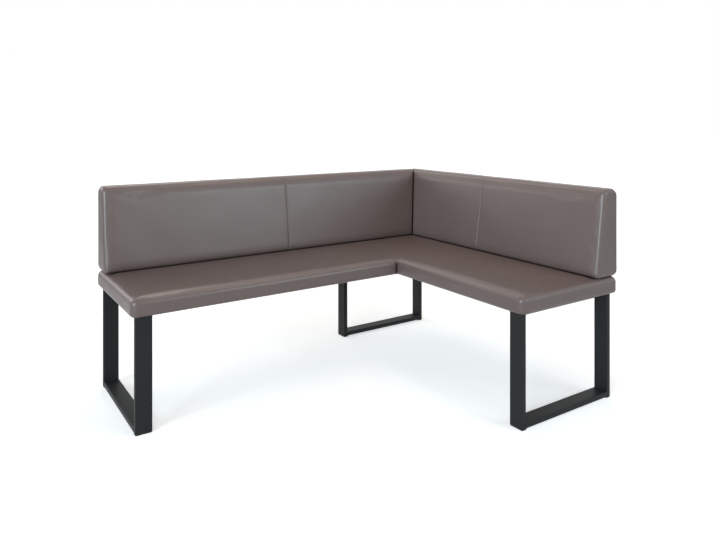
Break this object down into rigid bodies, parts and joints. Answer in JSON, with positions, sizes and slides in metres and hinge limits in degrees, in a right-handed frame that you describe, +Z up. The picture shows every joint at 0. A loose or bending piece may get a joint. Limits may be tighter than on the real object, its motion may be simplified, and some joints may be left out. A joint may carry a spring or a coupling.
{
  "type": "corner bench",
  "caption": "L-shaped upholstered dining bench: a flat padded seat, wedge-shaped backrests along both rear sides, and black steel runner frames.",
  "frame": {"origin": "on the floor, under the middle of the bench's outer rectangle", "axes": "+X along the long arm towards the corner, +Y towards the long arm's rear, +Z up; the short arm runs along -Y at the +X side"},
  "size_m": [1.705, 1.28, 0.83],
  "materials": {
    "taupe_faux_leather": "satin",
    "seat_foam": "matte",
    "black_lining": "matte",
    "black_powder_coat": "matte",
    "zinc_steel": "satin",
    "black_plastic": "matte",
    "plywood": "matte",
    "hardboard": "matte",
    "pine": "matte"
  },
  "bodies": {
    "root": {"back_corner_dowels": "pine", "corner_frame_front_leg": "black_powder_coat", "corner_frame_glides": "black_plastic", "corner_frame_rear_leg": "black_powder_coat", "corner_frame_runner": "black_powder_coat", "corner_frame_screws": "zinc_steel", "corner_frame_top_strip": "black_powder_coat", "joining_plate_screws": "zinc_steel", "left_frame_front_leg": "black_powder_coat", "left_frame_glides": "black_plastic", "left_frame_rear_leg": "black_powder_coat", "left_frame_runner": "black_powder_coat", "left_frame_screws": "zinc_steel", "left_frame_top_strip": "black_powder_coat", "long_back_bolts": "zinc_steel", "long_back_bottom_rail": "pine", "long_back_cover": "taupe_faux_leather", "long_back_foam": "seat_foam", "long_back_front_panel": "hardboard", "long_back_insert_nuts": "zinc_steel", "long_back_lining": "black_lining", "long_back_mitre_end": "pine", "long_back_rear_panel": "plywood", "long_back_ribs": "pine", "long_back_top_rail": "pine", "long_seat_batten": "pine", "long_seat_board": "plywood", "long_seat_cover": "taupe_faux_leather", "long_seat_foam": "seat_foam", "long_seat_lining": "black_lining", "long_seat_tee_nuts": "zinc_steel", "right_frame_front_leg": "black_powder_coat", "right_frame_glides": "black_plastic", "right_frame_rear_leg": "black_powder_coat", "right_frame_runner": "black_powder_coat", "right_frame_screws": "zinc_steel", "right_frame_top_strip": "black_powder_coat", "seat_joining_plates": "black_powder_coat", "short_back_bolts": "zinc_steel", "short_back_bottom_rail": "pine", "short_back_cover": "taupe_faux_leather", "short_back_foam": "seat_foam", "short_back_front_panel": "hardboard", "short_back_insert_nuts": "zinc_steel", "short_back_lining": "black_lining", "short_back_mitre_end": "pine", "short_back_rear_panel": "plywood", "short_back_ribs": "pine", "short_back_top_rail": "pine", "short_seat_batten": "pine", "short_seat_board": "plywood", "short_seat_cover": "taupe_faux_leather", "short_seat_foam": "seat_foam", "short_seat_lining": "black_lining", "short_seat_tee_nuts": "zinc_steel"}
  },
  "joints": []
}
